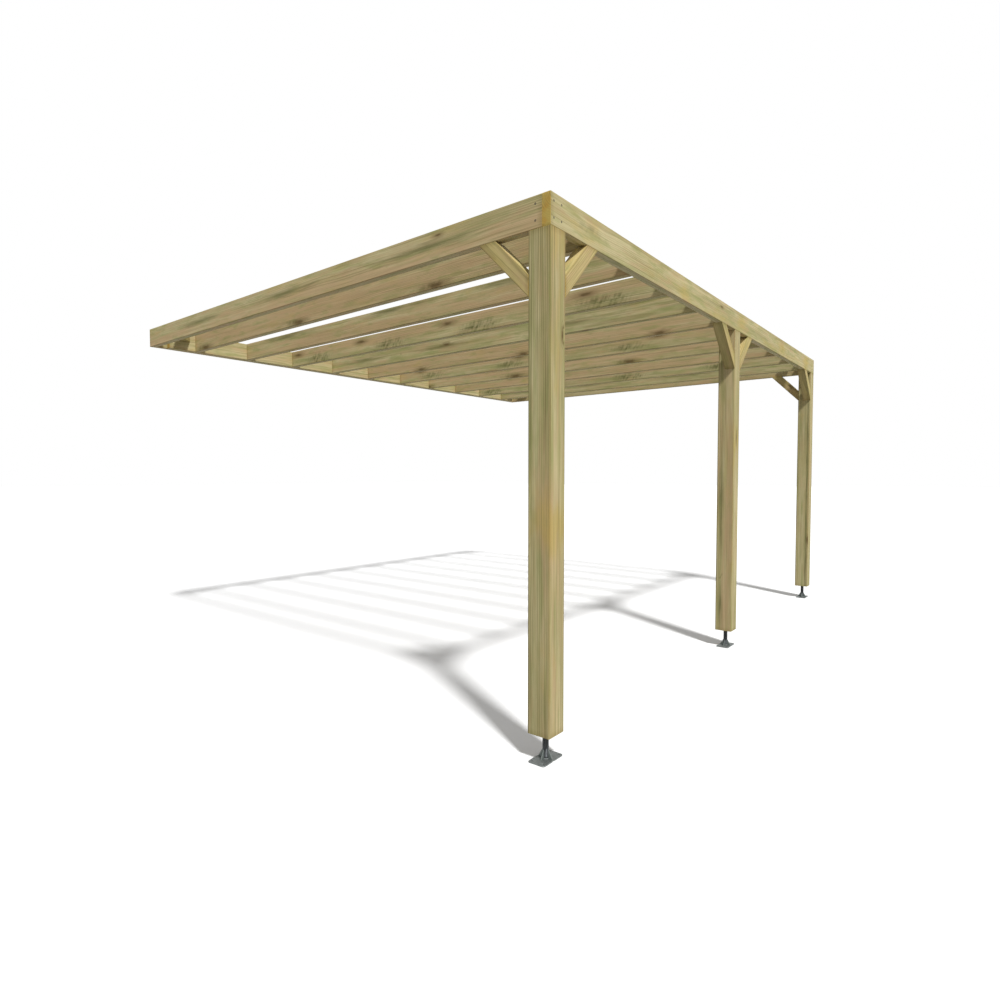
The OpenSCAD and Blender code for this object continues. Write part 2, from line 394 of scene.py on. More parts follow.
    def dress_end(self, graph: Graph, place: Wire, late: Wire, fibre: Wire) -> None:
        """Dresses a sawn end: orange, with curved rings and the pits of the saw.

        Args:
            graph: the material's graph.
            place: where on the timber, in metres.
            late: the latewood of the rings.
            fibre: the fine pattern of the wood.
        """
        pits = clouds(graph, place, (2.4, 2.4, 2.4), 2.0, 0.6, 13.0)
        cloud = clouds(graph, place, (42.0, 42.0, 42.0), apart=31.0)
        cloud = graph.add("MapRange", (cloud, 0.35, 0.65), interpolation_type="SMOOTHSTEP")
        colour = graph.add("Mix", {0: cloud, 6: linear(self.end), 7: linear(self.ochre)}, data_type="RGBA")
        ring = graph.add("Math", (late, 0.55), operation="MULTIPLY")
        colour = graph.add("Mix", {0: ring, 6: colour, 7: linear(self.latewood)}, data_type="RGBA")
        pit = graph.add("MapRange", (pits, 0.62, 0.8, 0.0, 0.5), interpolation_type="SMOOTHSTEP")
        colour = graph.add("Mix", {0: pit, 6: colour, 7: linear(self.knot)}, data_type="RGBA")
        height = graph.add("Math", (late, 0.6, pits), operation="MULTIPLY_ADD")
        rough = graph.add("MapRange", (fibre, 0.2, 0.8, 0.78, 0.92))
        self.finish(graph, colour, rough, height, self.end_bump_mm)

    def finish(self, graph: Graph, colour: Wire, rough: Wire, height: Wire, depth_mm: float) -> None:
        """Adds the shader and its relief.

        Args:
            graph: the material's graph.
            colour: the base colour.
            rough: the roughness.
            height: the relief, from 0 to about 1.
            depth_mm: how deep that relief is.
        """
        bump = graph.add("Bump", {"Height": height, "Distance": depth_mm / 1000.0, "Strength": 0.8})
        shader = graph.add("BsdfPrincipled", {"Base Color": colour, "Roughness": rough, "Normal": bump,
                                              "IOR": self.ior, "Specular IOR Level": self.specular})
        graph.add("OutputMaterial", (shader,))


@dataclass(frozen=True)
class GalvanisedSteel:
    """Hot-dip galvanised steel that has weathered to a dull grey.

    The zinc froze in crystals some 12 mm across, which catch the light a little differently from each
    other, and white bloom sits in the corners.
    """

    name: str = "galvanised_steel"
    dark: str = "#5C605F"
    light: str = "#7C827F"
    bloom: str = "#9AA09B"
    crystal_mm: float = 12.0
    roughness: float = 0.5
    bump_mm: float = 0.3
    # The dull zinc carbonate on the metal scatters like paint, so it is not all metal.
    metallic: float = 0.75

    def build(self) -> bpy.types.Material:
        """Makes the material.

        Returns:
            The material.
        """
        material, graph = new_material(self.name)
        place = graph.add("TexCoord").outputs["Object"]
        crystal = graph.add("TexVoronoi", {"Vector": place, "Scale": 1000.0 / self.crystal_mm,
                                           "Randomness": 0.95}, feature="F1")
        tone = graph.add("SeparateColor", (crystal.outputs["Color"],)).outputs[0]
        cloud = clouds(graph, place, (22.0, 22.0, 22.0), 3.0, 0.6)
        bloom = clouds(graph, place, (6.0, 6.0, 6.0), 3.0, 0.65, 5.0)
        amount = graph.add("MapRange", (tone, 0.0, 1.0, 0.15, 0.85))
        colour = graph.add("Mix", {0: amount, 6: linear(self.dark), 7: linear(self.light)}, data_type="RGBA")
        amount = graph.add("MapRange", (cloud, 0.3, 0.7, 0.0, 0.5), interpolation_type="SMOOTHSTEP")
        colour = graph.add("Mix", {0: amount, 6: colour, 7: linear(self.dark)}, data_type="RGBA")
        amount = graph.add("MapRange", (bloom, 0.56, 0.75, 0.0, 0.45), interpolation_type="SMOOTHSTEP")
        colour = graph.add("Mix", {0: amount, 6: colour, 7: linear(self.bloom)}, data_type="RGBA")
        rough = graph.add("MapRange", (bloom, 0.3, 0.7, self.roughness - 0.05, self.roughness + 0.15))
        height = graph.add("Math", (tone, 0.25, bloom), operation="MULTIPLY_ADD")
        bump = graph.add("Bump", {"Height": height, "Distance": self.bump_mm / 1000.0, "Strength": 0.6})
        shader = graph.add("BsdfPrincipled", {"Base Color": colour, "Roughness": rough, "Normal": bump,
                                              "Metallic": self.metallic})
        graph.add("OutputMaterial", (shader,))
        return material


# --------------------------------------------------------------------------------------------- mesh makers


@dataclass
class Shell:
    """A mesh in the making: vertices, faces, the material of each face, and named values per vertex."""

    vertices: list[np.ndarray] = field(default_factory=list)
    faces: list[np.ndarray] = field(default_factory=list)
    materials: list[np.ndarray] = field(default_factory=list)
    values: dict[str, list[np.ndarray]] = field(default_factory=dict)
    total: int = 0

    def add_rings(self, rings: np.ndarray, closed: bool = False, materials: Union[int, Sequence[int]] = 0,
                  **values: np.ndarray) -> None:
        """Adds a surface through rings of points.

        Ring i and ring i+1 are joined by quads all the way round. An open run of rings is closed at each
        end by a fan to the ring's mean point; a closed run joins its last ring to its first.

        Args:
            rings: points as (rings, points in a ring, 3). Round a ring they turn anticlockwise as seen
                from where the run goes to.
            closed: True where the run comes back to its first ring.
            materials: one material number for all, or one for each step between rings and then for the
                first and the last fan.
            values: named values as (rings, points, parts).
        """
        count, size = rings.shape[:2]
        index = self.total + np.arange(count * size).reshape(count, size)
        steps = count if closed else count - 1
        low, high = index[:steps], np.roll(index, -1, axis=0)[:steps]
        quads = np.stack([low, np.roll(low, -1, axis=1), np.roll(high, -1, axis=1), high], axis=-1)
        numbers = np.broadcast_to(np.asarray(materials, int), (steps + 2,))
        self.faces.append(quads.reshape(-1, 4))
        self.materials.append(np.repeat(numbers[:steps], size))
        self.vertices.append(rings.reshape(-1, 3))
        self.total += count * size
        values = {name: value.reshape(count, size, -1) for name, value in values.items()}
        for name, value in values.items():
            self.values.setdefault(name, []).append(value.reshape(count * size, -1))
        if closed:
            return
        for ring, number in ((0, numbers[-2]), (-1, numbers[-1])):
            self.vertices.append(rings[ring].mean(axis=0)[None])
            for name, value in values.items():
                self.values[name].append(value[ring].mean(axis=0)[None])
            around = index[ring]
            centre = np.full(size, self.total)
            fan = np.stack([around, np.roll(around, -1), centre, np.full(size, -1)], axis=-1)
            if ring == 0:
                fan[:, [0, 1]] = fan[:, [1, 0]]
            self.faces.append(fan)
            self.materials.append(np.full(size, number))
            self.total += 1

    def build(self, name: str, materials: Sequence[bpy.types.Material],
              sharp_degrees: float = 35.0) -> bpy.types.Object:
        """Makes the object.

        Args:
            name: the piece's name.
            materials: its material slots, in order.
            sharp_degrees: edges that turn more than this stay sharp.

        Returns:
            The new object, at the origin.
        """
        vertices = np.concatenate(self.vertices).astype(np.float32)
        faces = np.concatenate(self.faces)
        corners = np.where(faces[:, 3] < 0, 3, 4)
        mesh = bpy.data.meshes.new(name)
        mesh.vertices.add(len(vertices))
        mesh.vertices.foreach_set("co", vertices.ravel())
        mesh.loops.add(int(corners.sum()))
        mesh.loops.foreach_set("vertex_index", faces[faces >= 0].astype(np.int32))
        mesh.polygons.add(len(faces))
        starts = np.concatenate([[0], np.cumsum(corners)[:-1]])
        mesh.polygons.foreach_set("loop_start", starts.astype(np.int32))
        mesh.polygons.foreach_set("material_index", np.concatenate(self.materials).astype(np.int32))
        mesh.update(calc_edges=True)
        mesh.validate()
        for key, parts in self.values.items():
            value = np.concatenate(parts).astype(np.float32)
            kind, slot = ("FLOAT_VECTOR", "vector") if value.shape[1] == 3 else ("FLOAT", "value")
            mesh.attributes.new(key, kind, "POINT").data.foreach_set(slot, value.ravel())
        mesh.polygons.foreach_set("use_smooth", np.ones(len(mesh.polygons), bool))
        mesh.set_sharp_from_angle(angle=math.radians(sharp_degrees))
        for material in materials:
            mesh.materials.append(material)
        piece = bpy.data.objects.new(name, mesh)
        bpy.context.scene.collection.objects.link(piece)
        return piece


def rounded_rectangle(half_b: float, half_c: float, radius: float) -> tuple[np.ndarray, np.ndarray]:
    """Works out a timber's section: a rectangle with a quarter circle of the radius at each corner.

    Args:
        half_b: half of its size across.
        half_c: half of its size up.
        radius: radius of its eased corners.

    Returns:
        Its points as (points, 2), anticlockwise from the middle of the side at +b, and how close each is
        to an arris, 1 on the arc and 0 on the flat.
    """
    flat_points, arc_points = 9, 6
    rim = min(0.003, half_b / 4)
    angle = np.linspace(0.0, math.pi / 2, arc_points)
    points: list[np.ndarray] = []
    for turn, (out, side) in enumerate(((half_b, half_c), (half_c, half_b)) * 2):
        along = np.linspace(-1.0, 1.0, flat_points) * (side - radius - rim)
        line = np.stack([np.full(flat_points, out), along], axis=1)
        arc = np.stack([out - radius + radius * np.cos(angle),
                        side - radius + radius * np.sin(angle)], axis=1)
        cos, sin = round(math.cos(turn * math.pi / 2)), round(math.sin(turn * math.pi / 2))
        points.append(np.concatenate([line, arc]) @ np.array([[cos, sin], [-sin, cos]]))
    near = np.tile(np.repeat([0.0, 1.0], [flat_points, arc_points]), 4)
    # The outline starts at the end of the +b side, so it is turned on to the middle of it.
    first = flat_points // 2
    return np.roll(np.concatenate(points), -first, axis=0), np.roll(near, -first)


class Side(Enum):
    """A long side of a timber, by the direction that it faces in the timber's own frame."""

    B_PLUS = 0
    C_PLUS = 1
    B_MINUS = 2
    C_MINUS = 3


@dataclass(frozen=True)
class Mark:
    """A knot or a stain on a side of a timber.

    Attributes:
        along: distance from the timber's start.
        across: distance from the middle of the side, in the direction that the section turns.
        side: the side that it is on.
        length: a stain's half length, or a knot's radius.
        width: a stain's half width.
        strength: how dark a streak is, or below 0 for feathered marks.
    """

    along: float
    across: float
    side: Side = Side.B_PLUS
    length: float = 0.012
    width: float = 0.012
    strength: float = 0.6


# Marks far off the timber, for one that has none.
NO_KNOT = Mark(-9.0, 0.0, length=0.01, width=0.01)
NO_STAIN = Mark(-9.0, 0.0, length=0.1, width=0.01, strength=0.0)


@dataclass(frozen=True)
class Wash:
    """A soft patch of colour on a side of a timber, strongest in its middle.

    Attributes:
        along: distance from the timber's start to its middle.
        across: distance from the middle of the side, in the direction that the section turns.
        side: the side that it is on.
        length: half of its length.
        width: half of its width.
        lean: what it adds to the timber's lean to pink, ochre and green.
    """

    along: float
    across: float
    side: Side
    length: float
    width: float
    lean: Vector3


@dataclass
class Timber:
    """A planed timber that stands for one node of the frame.

    Attributes:
        node: the frame's node.
        start: the centre of its section where its centre line starts.
        run: the direction of its grain.
        up: the direction of its section's c axis.
        length: the length of its centre line.
        half_b: half of its section across.
        half_c: half of its section up.
        ease: radius of its arrises.
        slope_start: how far the start is cut back for each metre of +b.
        slope_end: how far the end is cut on for each metre of +b.
        knots: the knots that are listed.
        stains: the stains that are listed.
        washes: the soft patches of colour.
        lean: lean to pink, ochre and green.
        seed: picks the rest of its grain.
        knots_per_metre: how many more knots it gets.
        stains_per_metre: how many more stains it gets.
        heart: the way from the tree's heart as an angle round the section, and how far past the corner
            the heart lies.
        bore: radius and depth of a blind hole in its start.
    """

    node: str
    start: np.ndarray
    run: np.ndarray
    up: np.ndarray
    length: float
    half_b: float
    half_c: float
    ease: float = 0.0025
    slope_start: float = 0.0
    slope_end: float = 0.0
    knots: tuple[Mark, ...] = ()
    stains: tuple[Mark, ...] = ()
    washes: tuple[Wash, ...] = ()
    lean: Vector3 = (0.0, 0.0, 0.0)
    seed: int = 0
    knots_per_metre: float = 0.35
    stains_per_metre: float = 0.25
    heart: Optional[tuple[float, float]] = None
    bore: Optional[tuple[float, float]] = None

    def frame_axes(self) -> tuple[np.ndarray, np.ndarray, np.ndarray]:
        """Returns the timber's run, b and c directions."""
        return self.run, np.cross(self.up, self.run), self.up

    def girth(self) -> float:
        """Returns the distance round the section, with its corners taken as square."""
        return 4 * (self.half_b + self.half_c)

    def round_the_section(self, mark: Union[Mark, Wash]) -> float:
        """Returns how far round the section a mark lies from the middle of the +b side."""
        return mark.side.value * (self.half_b + self.half_c) + mark.across

    def way_round(self, q: np.ndarray, place: Union[float, np.ndarray]) -> np.ndarray:
        """Returns the shorter way round the section from a place to points at q, below 0 against its turn."""
        whole = self.girth()
        return (q - place + whole / 2) % whole - whole / 2

    def rings(self) -> tuple[np.ndarray, np.ndarray, np.ndarray, list[int]]:
        """Works out the rings of points from one sawn end to the other.

        The section is carried along the centre line. Each point's run starts and ends on its cut, a plane
        that leans by the slope, so s = cut0 + t (length + cut1 - cut0). At each end the section is first
        drawn in by 1 mm for the sawn edge and then shrunk towards its middle.

        Returns:
            The section's b and c and the run s of every point as (rings, points, 3), the closeness to an
            arris as (rings, points), the distance round the section, and the material of each step.
        """
        section, arris = rounded_rectangle(self.half_b, self.half_c, self.ease)
        step = np.linalg.norm(np.roll(section, -1, axis=0) - section, axis=1)
        around = np.concatenate([[0.0], np.cumsum(step)[:-1]]) / step.sum() * self.girth()
        ring_spacing, chamfer = 0.03, 0.001
        steps = max(6, int(self.length / ring_spacing))
        cap = [0.35, 0.8, 1.0 - chamfer / self.half_b]
        shrink = np.array(cap + [1.0] * (steps + 1) + cap[::-1])
        t = np.concatenate([np.zeros(3), np.linspace(0.0, 1.0, steps + 1), np.ones(3)])
        inner = np.zeros(len(t))
        inner[3], inner[-4] = chamfer, -chamfer
        inner[0] = self.bore[1] if self.bore else 0.0
        b = shrink[:, None] * section[None, :, 0]
        c = shrink[:, None] * section[None, :, 1]
        if self.bore:
            # The first rings become the hole: a circle at its bottom and its mouth, then half way out.
            angle = np.arctan2(section[:, 1], section[:, 0])
            hole_b, hole_c = self.bore[0] * np.cos(angle), self.bore[0] * np.sin(angle)
            b[:2], c[:2] = hole_b, hole_c
            b[2], c[2] = (hole_b + section[:, 0]) / 2, (hole_c + section[:, 1]) / 2
        cut_start = self.slope_start * b
        cut_end = self.length + self.slope_end * b
        s = cut_start + t[:, None] * (cut_end - cut_start) + inner[:, None]
        near = np.repeat(arris[None], len(t), axis=0)
        near[:3] = near[-3:] = 0.0
        near[3], near[-4] = 1.0, 1.0
        kinds = [1, 1, 1] + [0] * steps + [1, 1, 1] + [1, 1]
        return np.stack([b, c, s], axis=-1), near, around, kinds

    def nearest(self, marks: Sequence[Mark], s: np.ndarray, q: np.ndarray) -> tuple[np.ndarray, ...]:
        """Finds the nearest mark of every point on the unrolled timber.

        Args:
            marks: the knots or stains.
            s: every point's distance along the timber.
            q: every point's distance round the section.

        Returns:
            The way to that mark along and around, and its number.
        """
        ds = s[..., None] - np.array([mark.along for mark in marks])
        dq = self.way_round(q[..., None], np.array([self.round_the_section(mark) for mark in marks]))
        size = np.array([(mark.length, mark.width) for mark in marks])
        best = np.argmin(np.hypot(ds / size[:, 0], dq / size[:, 1]), axis=-1)
        ds, dq = (np.take_along_axis(way, best[..., None], axis=-1)[..., 0] for way in (ds, dq))
        return ds, dq, best

    def lean_at(self, s: np.ndarray, q: np.ndarray) -> np.ndarray:
        """Works out every point's lean to pink, ochre and green.

        Each wash adds its lean times exp(-(ds / length)^2 - (dq / width)^2).

        Args:
            s: every point's distance along the timber.
            q: every point's distance round the section.

        Returns:
            The lean as (rings, points, 3).
        """
        lean = np.broadcast_to(np.array(self.lean), (*s.shape, 3)).copy()
        for wash in self.washes:
            dq = self.way_round(q, self.round_the_section(wash))
            bell = np.exp(-((s - wash.along) / wash.length) ** 2 - (dq / wash.width) ** 2)
            lean += bell[..., None] * np.array(wash.lean)
        return lean

    def scatter(self, rng: np.random.Generator, placed: Sequence[Mark], per_metre: float,
                draw: Callable[[Side, float], Mark]) -> list[Mark]:
        """Adds marks by chance on the sides where none is listed.

        Args:
            rng: the timber's random numbers.
            placed: the listed marks.
            per_metre: how many more there are in a metre, on average.
            draw: makes a mark for a side and half of that side's width.

        Returns:
            The placed marks, then the drawn ones.
        """
        marks = list(placed)
        for _ in range(rng.poisson(per_metre * self.length)):
            side = Side(int(rng.integers(0, 4)))
            if any(mark.side is side for mark in placed):
                continue
            marks.append(draw(side, self.half_c if side in (Side.B_PLUS, Side.B_MINUS) else self.half_b))
        return marks

    def knot_values(self, rng: np.random.Generator, s: np.ndarray, q: np.ndarray) -> dict[str, np.ndarray]:
        """Works out what the knots' pattern reads: the way to the nearest knot, its radius, and 1 near it.

        Args:
            rng: the timber's random numbers.
            s: every point's distance along the timber.
            q: every point's distance round the section.

        Returns:
            The values knot and knot_near. Near is within five radii.
        """
        def draw(side: Side, half: float) -> Mark:
            """Draws a round knot."""
            radius, along = rng.uniform(0.005, 0.012), rng.uniform(0.05, 0.95) * self.length
            return Mark(along, rng.uniform(-0.9, 0.9) * half, side, radius, radius)

        knots = self.scatter(rng, self.knots, self.knots_per_metre, draw) or [NO_KNOT]
        ds, dq, which = self.nearest(knots, s, q)
        radii = np.array([knot.length for knot in knots])[which]
        near = np.hypot(ALONG_KNOT * ds, dq) < 5.0 * radii
        return {"knot": np.stack([ds, dq, radii], axis=-1), "knot_near": near.astype(float)}

    def stain_values(self, rng: np.random.Generator, s: np.ndarray, q: np.ndarray) -> dict[str, np.ndarray]:
        """Works out what the stains' pattern reads: the way to the nearest stain, its strength and its size.

        Args:
            rng: the timber's random numbers.
            s: every point's distance along the timber.
            q: every point's distance round the section.

        Returns:
            The values stain and stain_size. Past 1.6 of its own size a stain's strength is 0, so that the
            pattern ends before the next stain's begins.
        """
        def draw(side: Side, half: float) -> Mark:
            """Draws a streak or a feathered mark."""
            return Mark(rng.uniform(0.1, 0.9) * self.length, rng.uniform(-0.8, 0.8) * half, side,
                        rng.uniform(0.12, 0.35), rng.uniform(0.006, 0.02), rng.uniform(-0.7, 0.7))

        stains = [] if self.stains else [NO_STAIN]
        stains += self.scatter(rng, self.stains, self.stains_per_metre, draw)
        ds, dq, which = self.nearest(stains, s, q)
        sizes = np.array([(stain.length, stain.width, stain.strength) for stain in stains])[which]
        far = np.hypot(ds / sizes[..., 0], dq / sizes[..., 1])
        strength = np.where(far < 1.6, sizes[..., 2], 0.0)
        return {"stain": np.stack([ds, dq, strength], axis=-1),
                "stain_size": np.stack([sizes[..., 0], sizes[..., 1], np.ones_like(s)], axis=-1)}

    def add_to(self, shell: Shell) -> None:
        """Adds the timber's surface, grain and marks to a shell.

        Args:
            shell: the mesh in the making.
        """
        rng = np.random.default_rng(FIRST_SEED + self.seed)
        local, near, around, kinds = self.rings()
        b, c, s = local[..., 0], local[..., 1], local[..., 2]
        q = np.broadcast_to(around, s.shape)
        run, axis_b, axis_c = self.frame_axes()
        points = self.start + s[..., None] * run + b[..., None] * axis_b + c[..., None] * axis_c
        # The tree's heart lies beside the timber, so its rings cross the section as arcs.
        turn, away = self.heart or (rng.uniform(0.0, 2 * math.pi), rng.uniform(0.01, 0.05))
        heart = math.hypot(self.half_b, self.half_c) + away
        across = heart + b * math.cos(turn) + c * math.sin(turn)
        through = -b * math.sin(turn) + c * math.cos(turn)
        # Each timber reads its own stretch of the patterns.
        own_stretch = 7.31 * self.seed
        grain = np.stack([s + own_stretch, across, through], axis=-1)
        shell.add_rings(points, materials=kinds, grain=grain, **self.knot_values(rng, s, q),
                        **self.stain_values(rng, s, q), tint=self.lean_at(s, q), arris=near)

    def build(self, face: bpy.types.Material, end: bpy.types.Material, slot: str,
              others: Sequence["Timber"] = ()) -> bpy.types.Object:
        """Builds the timber and puts it in the place of its node.

        Args:
            face: the material of its long sides.
            end: the material of its sawn ends.
            slot: a material slot's name; not used.
            others: more lengths of the same timber, such as a post's head.

        Returns:
            The new object.
        """
        shell = Shell()
        for timber in (self, *others):
            timber.add_to(shell)
        piece = shell.build(self.node + "_timber", [face, end])
        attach(piece, "root")
        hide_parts(self.node)
        log.info("%s: %d faces", piece.name, len(piece.data.polygons))
        return piece


def corners(node: str) -> tuple[np.ndarray, np.ndarray]:
    """Returns a node's lowest and highest corner as arrays."""
    low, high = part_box(node)
    return np.array(low), np.array(high)


def straight(node: str, run: np.ndarray, up: np.ndarray, **more: object) -> Timber:
    """Makes a square-cut timber that fills its node's box.

    Args:
        node: the frame's node.
        run: the direction of its grain, along a frame axis.
        up: the direction of its section's c axis, along another.
        more: the timber's other fields.

    Returns:
        The timber.
    """
    low, high = corners(node)
    size, middle = high - low, (high + low) / 2
    length = float(abs(size @ run))
    across = np.cross(up, run)
    return Timber(node, middle - run * length / 2, run, up, length, float(abs(size @ across)) / 2,
                  float(abs(size @ up)) / 2, **more)


def slanted(node: str, apart: np.ndarray, first: np.ndarray, second: np.ndarray, **more: object) -> Timber:
    """Makes a brace at 45 degrees between two faces that meet at a corner of its node's box.

    With u and v the distances from those faces and w the brace's thickness, it fills the band between
    u + v = leg - w sqrt(2) and u + v = leg, where leg is the box's size along u and v.

    Args:
        node: the frame's node.
        apart: the direction in which u grows.
        first: the direction in which v grows.
        second: the direction of the brace's thickness.
        more: the timber's other fields.

    Returns:
        The timber, from the face u = 0 to the face v = 0.
    """
    low, high = corners(node)
    size = high - low
    leg, thick = float(abs(size @ apart)), float(abs(size @ second))
    corner = np.where(apart + first > 0, low, high)
    corner = np.where(np.abs(second) > 0.5, (low + high) / 2, corner)
    middle = leg - thick * math.sqrt(2) / 2
    start = corner + middle * first
    run = (apart - first) / math.sqrt(2)
    outward = (apart + first) / math.sqrt(2)
    up = np.cross(run, outward)
    return Timber(node, start, run, up, middle * math.sqrt(2), thick / 2, thick / 2, slope_start=-1.0,
                  slope_end=1.0, ease=0.003, **more)


# ---------------------------------------------------------------------------------------- the sub-assemblies


@dataclass
class RoofFrame:
    """The front beam, side beams, wall board, header and rafters."""

    slot: str = "beam_timber"
    wood: TreatedPine = TreatedPine(name="treated_pine_beam")

    def front_beam(self) -> Timber:
        """Makes the front beam, whose front is its +b side, with ochre patches and few stains.

        Returns:
            The beam. Its front lies back by the height of the screw heads, which end flush with the
            frame's face.
        """
        low, high = corners("front_beam")
        length = float(high[0] - low[0])
        front = Side.B_PLUS
        patches = ((0.40, 0.45), (1.50, 0.55), (2.58, 0.65), (3.72, 0.65), (4.66, 0.7))
        washes = [Wash(length - x, 0.0, front, 0.11, 0.09, (-0.1, amount, -0.1)) for x, amount in patches]
        washes.append(Wash(length / 2, -0.045, front, 2.6, 0.026, (-0.2, 0.25, 0.15)))
        stains = (Mark(length - 1.95, 0.02, length=0.28, width=0.012, strength=0.35),
                  Mark(length - 0.33, 0.01, length=0.12, width=0.02, strength=-0.5),
                  Mark(length - 3.1, -0.01, length=0.35, width=0.012, strength=0.3))
        knots = (Mark(length - 2.15, 0.03, length=0.006, width=0.006),)
        beam = straight("front_beam", -X_AXIS, Z_AXIS, washes=tuple(washes), stains=stains, knots=knots,
                        lean=(-0.25, 0.0, -0.05), seed=1)
        beam.start = beam.start + Y_AXIS * SCREW_PROUD / 2
        beam.half_b -= SCREW_PROUD / 2
        return beam

    def side_beam(self, name: str, outward: np.ndarray, seed: int) -> Timber:
        """Makes a side beam, whose outer side carries three long green streaks over a pink lower half.

        Args:
            name: the beam's node.
            outward: the direction that its outer side faces.
            seed: picks its grain.

        Returns:
            The beam.
        """
        run = np.cross(outward, Z_AXIS)
        places = [along if run[1] > 0 else 4.0 - along for along in (0.70, 1.97, 3.15)]
        stains = tuple(Mark(along, 0.004, length=0.32, width=0.024, strength=0.85) for along in places)
        washes = (Wash(2.0, -0.042, Side.B_PLUS, 3.5, 0.034, (0.35, 0.0, -0.1)),
                  Wash(2.0, 0.055, Side.B_PLUS, 3.5, 0.025, (-0.3, 0.2, -0.2)))
        return straight(name, run, Z_AXIS, stains=stains, washes=washes, lean=(0.1, 0.0, 0.0), seed=seed)

    def rafter(self, number: int) -> Timber:
        """Makes a rafter, one of six looks that start again a little further along at the seventh.

        Args:
            number: the rafter's number, 1 at the left.

        Returns:
            The rafter.
        """
        later = 0.21 * (number // 7)

        def row(places: Sequence[float], across: float, *size: float) -> tuple[Mark, ...]:
            """Returns equal marks in a row along the rafter's left side."""
            return tuple(Mark(x + later, across, Side.B_PLUS, *size) for x in places)

        def band(across: float, width: float, lean: Vector3) -> Wash:
            """Returns a wash along the whole of the left side."""
            return Wash(2.0, across, Side.B_PLUS, 3.0, width, lean)

        top, low = 0.040, -0.040
        plain: Vector3 = (0.1, 0.0, 0.0)
        pink, pale_green = (0.4, 0.0, -0.1), (-0.2, 0.0, 0.2)
        # Knots, stains, washes and the lean of the whole rafter.
        looks = (
            # Low knots with feathered marks.
            (row((0.98, 2.35, 3.72), -0.058, 0.015, 0.015), row((1.02, 2.40, 3.76), -0.05, 0.15, 0.022, -0.8),
             (band(0.01, 0.05, pink),), plain),
            # A green top edge.
            ((), row((0.76, 1.89, 3.26), 0.052, 0.30, 0.024, 0.9), (band(low, 0.04, pink),), plain),
            # Knots above broad feathered marks.
            (row((0.55, 1.79, 2.84, 3.80), 0.029, 0.014, 0.014),
             row((0.41, 1.46, 2.46, 3.46), -0.035, 0.20, 0.045, -1.25),
             (band(top, 0.04, (0.45, 0.0, -0.1)), band(low, 0.04, pale_green)), plain),
            # Green streaks in the middle and along the top.
            ((), (*row((0.96, 2.30, 3.36), 0.0, 0.32, 0.022, 0.8),
                  *row((0.5, 1.7, 2.9), 0.058, 0.35, 0.008, 0.5)), (), (-0.1, 0.0, 0.1)),
            # Low knots on pink wood.
            (row((0.46, 1.76, 3.06), -0.060, 0.013, 0.013), (), (band(0.0, 0.07, (0.45, 0.0, -0.1)),), plain),
            # High knots over feathered marks.
            (row((0.69, 2.16, 3.56), 0.035, 0.014, 0.014), row((0.96, 2.26, 3.36), -0.03, 0.20, 0.040, -1.15),
             (band(top, 0.045, (0.45, 0.1, -0.1)), band(low, 0.04, pale_green)), plain),
        )
        knots, stains, washes, lean = looks[(number - 1) % len(looks)]
        return straight(f"rafter_{number}", Y_AXIS, Z_AXIS, knots=knots, stains=stains, washes=washes,
                        lean=lean, seed=10 + number)

    def build(self) -> None:
        """Builds and dresses every timber of the roof frame."""
        face, end = self.wood.both()
        timbers = [self.front_beam(), self.side_beam("side_beam_left", -X_AXIS, 2),
                   self.side_beam("side_beam_right", X_AXIS, 3),
                   straight("wall_board", -X_AXIS, Z_AXIS, seed=4),
                   straight("header_beam", -X_AXIS, Z_AXIS, seed=5)]
        timbers += [self.rafter(number) for number in range(1, 11)]
        for timber in timbers:
            timber.build(face, end, self.slot)


